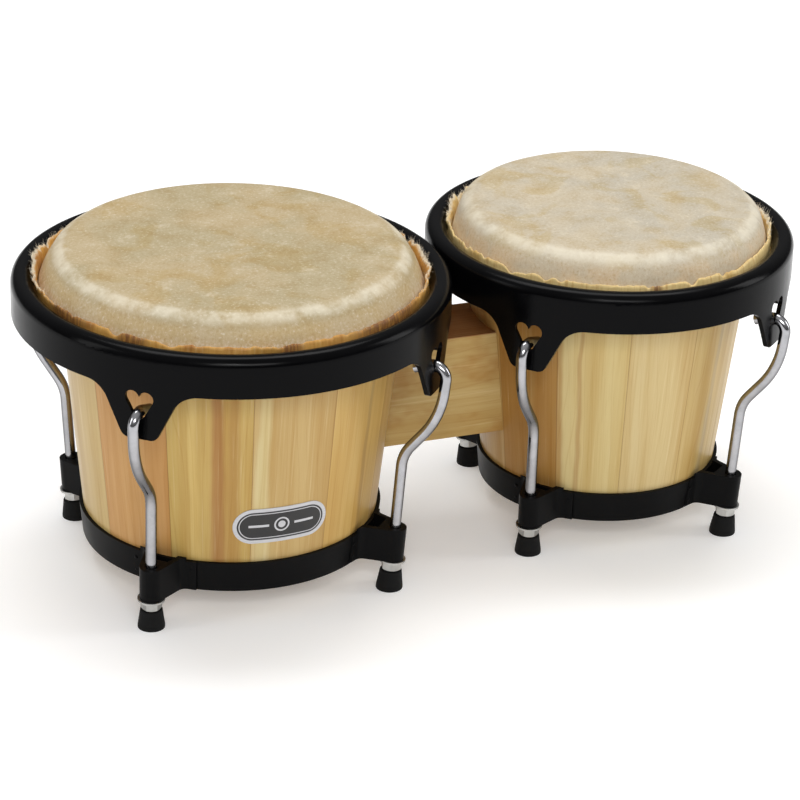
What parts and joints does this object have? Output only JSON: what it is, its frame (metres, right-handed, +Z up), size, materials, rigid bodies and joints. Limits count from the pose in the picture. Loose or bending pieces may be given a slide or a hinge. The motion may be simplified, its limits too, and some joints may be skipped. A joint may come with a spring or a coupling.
{
  "type": "bongo drums",
  "caption": "Pair of tunable hand drums: tapered stave shells joined by a wooden block, rawhide heads under black steel rims, hooked tension rods on rubber feet.",
  "frame": {"origin": "on the floor, under the middle of the pair's overall length and depth", "axes": "+Z up, +X along the pair from the large drum to the small drum, +Y square to both"},
  "size_m": [0.4404, 0.2352, 0.1836],
  "materials": {
    "large_stave_wood": "clear satin lacquer over glued staves of mixed light and golden tones",
    "small_stave_wood": "clear satin lacquer over glued staves of pale golden softwood",
    "block_wood": "clear satin lacquer, grain along the block",
    "black_paint": "satin black powder coat",
    "rim_paint": "semi-gloss black powder coat",
    "rod_chrome": "chrome plated steel rod",
    "zinc_steel": "bright zinc plated",
    "foot_rubber": "matt moulded black rubber",
    "rawhide": "mottled cream and tan rawhide with a fine fibrous surface",
    "rawhide_tail": "translucent amber rawhide edge with pale torn fibres",
    "label_print": "silver-white printed label with a plain black panel"
  },
  "bodies": {
    "root": {"connecting_block": "block_wood", "block_bolts": "zinc_steel", "block_bolt_washers": "zinc_steel", "block_bolt_nuts": "zinc_steel", "shell_label": "label_print", "large_shell": "large_stave_wood", "large_base_band": "black_paint", "large_base_lugs": "black_paint", "large_nut_washers": "zinc_steel", "large_head": "rawhide", "small_shell": "small_stave_wood", "small_base_band": "black_paint", "small_base_lugs": "black_paint", "small_nut_washers": "zinc_steel", "small_head": "rawhide"},
    "large_rim_set": {"large_rim": "rim_paint", "large_flesh_hoop": "zinc_steel", "large_head_tuck": "rawhide_tail"},
    "large_rod_1": {"large_tension_rod_1": "rod_chrome", "large_rubber_foot_1": "foot_rubber"},
    "large_nut_1": {"large_tuning_nut_1": "zinc_steel"},
    "large_rod_2": {"large_tension_rod_2": "rod_chrome", "large_rubber_foot_2": "foot_rubber"},
    "large_nut_2": {"large_tuning_nut_2": "zinc_steel"},
    "large_rod_3": {"large_tension_rod_3": "rod_chrome", "large_rubber_foot_3": "foot_rubber"},
    "large_nut_3": {"large_tuning_nut_3": "zinc_steel"},
    "large_rod_4": {"large_tension_rod_4": "rod_chrome", "large_rubber_foot_4": "foot_rubber"},
    "large_nut_4": {"large_tuning_nut_4": "zinc_steel"},
    "small_rim_set": {"small_rim": "rim_paint", "small_flesh_hoop": "zinc_steel", "small_head_tuck": "rawhide_tail"},
    "small_rod_1": {"small_tension_rod_1": "rod_chrome", "small_rubber_foot_1": "foot_rubber"},
    "small_nut_1": {"small_tuning_nut_1": "zinc_steel"},
    "small_rod_2": {"small_tension_rod_2": "rod_chrome", "small_rubber_foot_2": "foot_rubber"},
    "small_nut_2": {"small_tuning_nut_2": "zinc_steel"},
    "small_rod_3": {"small_tension_rod_3": "rod_chrome", "small_rubber_foot_3": "foot_rubber"},
    "small_nut_3": {"small_tuning_nut_3": "zinc_steel"},
    "small_rod_4": {"small_tension_rod_4": "rod_chrome", "small_rubber_foot_4": "foot_rubber"},
    "small_nut_4": {"small_tuning_nut_4": "zinc_steel"}
  },
  "joints": [
    {"name": "large_rim_travel", "type": "slide", "parent": "root", "child": "large_rim_set", "axis": [0, 0, -1], "range_m": [0, 0.006]},
    {"name": "large_rod_1_travel", "type": "slide", "parent": "root", "child": "large_rod_1", "axis": [-0.0187, -0.0595, -0.9981], "range_m": [0, 0.0062]},
    {"name": "large_nut_1_turn", "type": "hinge", "parent": "root", "child": "large_nut_1", "pos_m": [-0.03565, 0.06991, 0.01427], "axis": [0.0187, 0.0595, 0.9981], "range_deg": [0, 2165]},
    {"name": "large_rod_2_travel", "type": "slide", "parent": "root", "child": "large_rod_2", "axis": [0.0595, -0.0187, -0.9981], "range_m": [0, 0.0062]},
    {"name": "large_nut_2_turn", "type": "hinge", "parent": "root", "child": "large_nut_2", "pos_m": [-0.17251, 0.06696, 0.01427], "axis": [-0.0595, 0.0187, 0.9981], "range_deg": [0, 2165]},
    {"name": "large_rod_3_travel", "type": "slide", "parent": "root", "child": "large_rod_3", "axis": [0.0187, 0.0595, -0.9981], "range_m": [0, 0.0062]},
    {"name": "large_nut_3_turn", "type": "hinge", "parent": "root", "child": "large_nut_3", "pos_m": [-0.16956, -0.06991, 0.01427], "axis": [-0.0187, -0.0595, 0.9981], "range_deg": [0, 2165]},
    {"name": "large_rod_4_travel", "type": "slide", "parent": "root", "child": "large_rod_4", "axis": [-0.0595, 0.0187, -0.9981], "range_m": [0, 0.0062]},
    {"name": "large_nut_4_turn", "type": "hinge", "parent": "root", "child": "large_nut_4", "pos_m": [-0.03269, -0.06696, 0.01427], "axis": [0.0595, -0.0187, 0.9981], "range_deg": [0, 2165]},
    {"name": "small_rim_travel", "type": "slide", "parent": "root", "child": "small_rim_set", "axis": [0, 0, -1], "range_m": [0, 0.006]},
    {"name": "small_rod_1_travel", "type": "slide", "parent": "root", "child": "small_rod_1", "axis": [-0.0255, -0.0569, -0.9981], "range_m": [0, 0.0062]},
    {"name": "small_nut_1_turn", "type": "hinge", "parent": "root", "child": "small_nut_1", "pos_m": [0.18126, 0.05237, 0.01427], "axis": [0.0255, 0.0569, 0.9981], "range_deg": [0, 2165]},
    {"name": "small_rod_2_travel", "type": "slide", "parent": "root", "child": "small_rod_2", "axis": [0.0569, -0.0255, -0.9981], "range_m": [0, 0.0062]},
    {"name": "small_nut_2_turn", "type": "hinge", "parent": "root", "child": "small_nut_2", "pos_m": [0.06553, 0.06336, 0.01427], "axis": [-0.0569, 0.0255, 0.9981], "range_deg": [0, 2165]},
    {"name": "small_rod_3_travel", "type": "slide", "parent": "root", "child": "small_rod_3", "axis": [0.0255, 0.0569, -0.9981], "range_m": [0, 0.0062]},
    {"name": "small_nut_3_turn", "type": "hinge", "parent": "root", "child": "small_nut_3", "pos_m": [0.05454, -0.05237, 0.01427], "axis": [-0.0255, -0.0569, 0.9981], "range_deg": [0, 2165]},
    {"name": "small_rod_4_travel", "type": "slide", "parent": "root", "child": "small_rod_4", "axis": [-0.0569, 0.0255, -0.9981], "range_m": [0, 0.0062]},
    {"name": "small_nut_4_turn", "type": "hinge", "parent": "root", "child": "small_nut_4", "pos_m": [0.17027, -0.06336, 0.01427], "axis": [0.0569, -0.0255, 0.9981], "range_deg": [0, 2165]}
  ],
  "couplings": [
    {"joint": "large_rod_1_travel", "follows": "large_rim_travel", "ratio": 1},
    {"joint": "large_nut_1_turn", "follows": "large_rim_travel", "rad_per_m": 6283.2},
    {"joint": "large_rod_2_travel", "follows": "large_rim_travel", "ratio": 1},
    {"joint": "large_nut_2_turn", "follows": "large_rim_travel", "rad_per_m": 6283.2},
    {"joint": "large_rod_3_travel", "follows": "large_rim_travel", "ratio": 1},
    {"joint": "large_nut_3_turn", "follows": "large_rim_travel", "rad_per_m": 6283.2},
    {"joint": "large_rod_4_travel", "follows": "large_rim_travel", "ratio": 1},
    {"joint": "large_nut_4_turn", "follows": "large_rim_travel", "rad_per_m": 6283.2},
    {"joint": "small_rod_1_travel", "follows": "small_rim_travel", "ratio": 1},
    {"joint": "small_nut_1_turn", "follows": "small_rim_travel", "rad_per_m": 6283.2},
    {"joint": "small_rod_2_travel", "follows": "small_rim_travel", "ratio": 1},
    {"joint": "small_nut_2_turn", "follows": "small_rim_travel", "rad_per_m": 6283.2},
    {"joint": "small_rod_3_travel", "follows": "small_rim_travel", "ratio": 1},
    {"joint": "small_nut_3_turn", "follows": "small_rim_travel", "rad_per_m": 6283.2},
    {"joint": "small_rod_4_travel", "follows": "small_rim_travel", "ratio": 1},
    {"joint": "small_nut_4_turn", "follows": "small_rim_travel", "rad_per_m": 6283.2}
  ]
}
